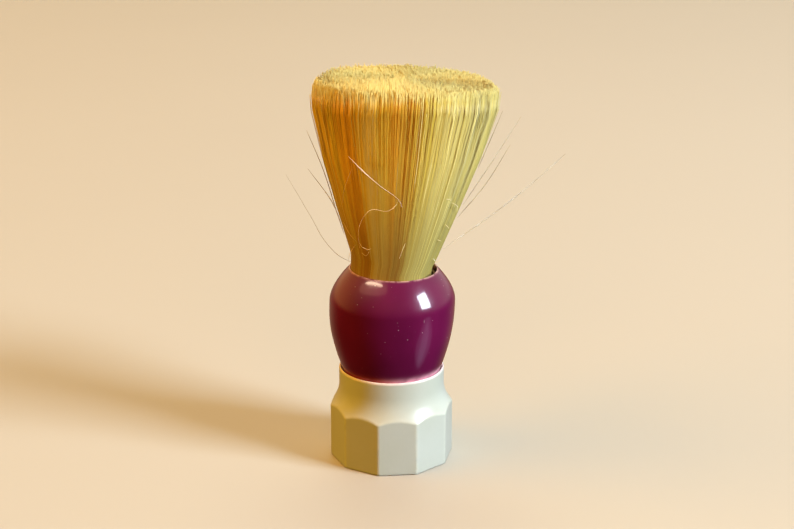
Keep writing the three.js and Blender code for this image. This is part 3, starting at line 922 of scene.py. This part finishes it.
def finish_kept_nodes():
    finishes = {
        "base_filler": grained("plaster", (0.58, 0.54, 0.47), (0.78, 0.75, 0.68), 400, 0.75, 0.95, 0.2),
        "base_cement": grained("resin_cement", (0.16, 0.11, 0.05), (0.34, 0.24, 0.11), 350, 0.4, 0.7, 0.2),
        "handle_plug": grained(
            "plug_wood", (0.42, 0.25, 0.11), (0.64, 0.43, 0.22), 160, 0.6, 0.85, 0.15, (1.0, 9.0, 9.0),
        ),
        "knot_ferrule": grained(
            "tinplate", (0.45, 0.44, 0.42), (0.68, 0.67, 0.64), 300, 0.28, 0.5, 0.05, (1.0, 1.0, 12.0), 1.0,
        ),
        "knot_rubber": grained("rubber", (0.02, 0.018, 0.016), (0.05, 0.042, 0.038), 500, 0.6, 0.85, 0.1),
        "bristle_roots": grained(
            "bound_bristle", (0.11, 0.06, 0.02), (0.36, 0.24, 0.08), 600, 0.5, 0.75, 0.25, (1.0, 1.0, 0.06),
        ),
        "root_binding": grained("twine", (0.36, 0.28, 0.16), (0.60, 0.50, 0.33), 900, 0.8, 0.95, 0.2),
    }
    finishes["knot_cement"] = finishes["base_cement"]
    for node, material in finishes.items():
        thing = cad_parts[node]
        thing.data.materials.clear()
        thing.data.materials.append(material)


# ---------------------------------------------------------------- floor, light and camera

FLOOR_HALF = 6000.0  # half the floor's width, in millimetres


def floor_material():
    nodes = Nodes("floor")
    place = nodes.place()
    nodes.set(
        Base_Color=nodes.mix(nodes.noise(place, 3, detail=4), (0.58, 0.52, 0.45), (0.61, 0.55, 0.48)),
        Roughness=0.5,
        Specular_IOR_Level=0.3,
    )
    return nodes.material


def build_floor():
    """The floor takes light and shadow, but neither reflects in the brush nor lights it."""
    corners = FLOOR_HALF * np.array([[-1, -1, 0], [1, -1, 0], [1, 1, 0], [-1, 1, 0]])
    floor = mesh_object("floor", corners, [np.array([[0, 1, 2, 3]])])
    floor.data.materials.append(floor_material())
    floor.visible_glossy = False
    floor.visible_diffuse = False


def direction(azimuth, elevation):
    """Unit vector; the azimuth is in degrees from +X."""
    a, e = math.radians(azimuth), math.radians(elevation)
    return Vector((math.cos(e) * math.cos(a), math.cos(e) * math.sin(a), math.sin(e)))


ROOM_SCALE = 2.0  # the lights stand this much farther away, and are as much larger, than listed
LIGHTS_AIM = Vector((0, 0, 0.045))  # the middle of the brush
WINDOW_TINT = (0.73, 0.89, 1.0)
LAMP_TINT = (1.0, 0.74, 0.50)
HAZE_TINT = (1.0, 0.50, 0.28)


def area_light(
    name, azimuth, elevation, distance, size, radiance, tint, shape="RECTANGLE", seen_by="both", spin=0,
):
    """An area light that faces the middle of the brush. Its radiance is that of its surface."""
    data = bpy.data.lights.new(name, "AREA")
    data.shape = shape
    data.size, data.size_y = (side * ROOM_SCALE for side in size)
    area = data.size * data.size_y * (math.pi / 4 if shape == "ELLIPSE" else 1)
    data.energy = radiance * math.pi * area
    data.color = tint
    light = bpy.data.objects.new(name, data)
    light.location = LIGHTS_AIM + direction(azimuth, elevation) * distance * ROOM_SCALE
    facing = (LIGHTS_AIM - light.location).to_track_quat("-Z", "Y")
    light.rotation_euler = (facing @ Quaternion((0, 0, 1), math.radians(spin))).to_euler()
    light.visible_diffuse = seen_by != "gloss"
    light.visible_transmission = seen_by != "gloss"
    light.visible_glossy = seen_by != "matt"
    light.visible_camera = False
    bpy.context.scene.collection.objects.link(light)


def build_lights():
    """A window on the right in front, a warm lamp above on the left, and fill. Distances are in metres."""
    area_light("window", -23, 27, 1.1, (0.36, 0.54), 34.0, WINDOW_TINT, seen_by="gloss", spin=-10)
    area_light("window_light", -26, 27, 1.1, (0.36, 0.6), 30.5, WINDOW_TINT, seen_by="matt")
    area_light("window_glint", -23, 27, 1.09, (0.34, 0.52), 4.0, (1.0, 0.93, 0.95), seen_by="gloss", spin=-10)
    area_light("window_haze", -23, 28, 1.2, (0.62, 0.85), 0.35, (0.55, 0.4, 1.0), "ELLIPSE", "gloss")
    area_light("table_glint", -22, -35, 1.1, (0.25, 0.5), 0.6, (0.85, 0.7, 1.0), "ELLIPSE", "gloss")
    area_light("table_haze", -22, -35, 1.15, (0.55, 0.6), 0.6, (0.85, 0.6, 1.0), "ELLIPSE", "gloss")
    area_light("lamp_light", -166, 48, 1.3, (0.9, 0.9), 3.0, (1.0, 0.47, 0.017), seen_by="matt")
    for height, radiance in ((0.07, 26.0), (0.13, 9.0), (0.2, 4.5)):
        area_light("lamp", -156, 57, 1.3, (0.75, height), radiance, LAMP_TINT, "ELLIPSE", "gloss", 28)
    for width in (0.35, 0.5, 0.65, 0.8, 0.95, 1.1, 1.25):
        size = (width, width * 0.42)
        area_light("lamp_haze", -151, 54, 1.35, size, 1.25, HAZE_TINT, "ELLIPSE", "gloss", 25)
    area_light("warm_wall", 178, 14, 1.5, (1.2, 0.9), 2.5, (1.0, 0.58, 0.025), seen_by="matt")
    area_light("overhead", 90, 62, 1.6, (1.2, 1.2), 2.5, (0.95, 1.0, 0.78), seen_by="matt")
    area_light("front_fill", -92, 32, 1.8, (1.6, 1.2), 1.8, (1.0, 0.51, 0.09), seen_by="matt")


ROOM_ON_MATT = (0.075, 0.043, 0.011)  # the room's even light on matt surfaces, from above
TABLE_ON_MATT = (0.047, 0.027, 0.013)  # and from below


def build_room():
    """A pale wall behind, a darker room in front and a brown table; matt surfaces get an even light."""
    world = bpy.data.worlds.new("room")
    world.use_nodes = True
    tree = world.node_tree
    parts = tree.nodes.new("ShaderNodeSeparateXYZ")
    tree.links.new(tree.nodes.new("ShaderNodeTexCoord").outputs["Generated"], parts.inputs[0])

    def span(value, low, high):
        node = tree.nodes.new("ShaderNodeMapRange")
        node.interpolation_type = "SMOOTHSTEP"
        tree.links.new(value, node.inputs["Value"])
        node.inputs["From Min"].default_value = low
        node.inputs["From Max"].default_value = high
        return node.outputs["Result"]

    def mix(share, a, b):
        node = tree.nodes.new("ShaderNodeMix")
        node.data_type = "RGBA"
        tree.links.new(share, node.inputs["Factor"])
        for socket, value in ((node.inputs["A"], a), (node.inputs["B"], b)):
            if isinstance(value, tuple):
                socket.default_value = (*value, 1)
            else:
                tree.links.new(value, socket)
        return node.outputs["Result"]

    wall = mix(span(parts.outputs["X"], -0.8, 0.5), (0.85, 0.46, 0.15), (0.72, 0.60, 0.52))
    behind = span(parts.outputs["Y"], -0.55, 0.45)
    front = mix(span(parts.outputs["Z"], -0.35, 0.9), (0.02, 0.01, 0.008), (0.15, 0.12, 0.11))
    above = mix(behind, front, wall)
    below = mix(span(parts.outputs["Y"], 0.3, 0.95), front, (0.30, 0.15, 0.09))
    sky = mix(span(parts.outputs["Z"], -0.14, 0.1), below, above)
    matt = tree.nodes.new("ShaderNodeLightPath").outputs["Is Diffuse Ray"]
    dimmed = mix(matt, sky, mix(span(parts.outputs["Z"], -0.3, 0.3), TABLE_ON_MATT, ROOM_ON_MATT))
    tree.links.new(dimmed, tree.nodes["Background"].inputs["Color"])
    bpy.context.scene.world = world


CAMERA_PLACE = (0.00151, -0.4168, 0.1921)
CAMERA_LOOKS_DOWN = 18.22  # degrees
CAMERA_SENSOR = 36
CAMERA_LENS = 73.83


def build_camera():
    """The camera stands in front, above the brush, and looks down at it."""
    data = bpy.data.cameras.new("camera")
    data.sensor_width = CAMERA_SENSOR
    data.lens = CAMERA_LENS
    camera = bpy.data.objects.new("camera", data)
    camera.location = CAMERA_PLACE
    camera.rotation_euler = (math.radians(90 - CAMERA_LOOKS_DOWN), 0, 0)
    bpy.context.scene.collection.objects.link(camera)
    bpy.context.scene.camera = camera


build_base()
build_bulb()
build_tuft()
build_strays()
finish_kept_nodes()
build_floor()
build_lights()
build_room()
build_camera()
bpy.context.scene.view_settings.view_transform = "Standard"
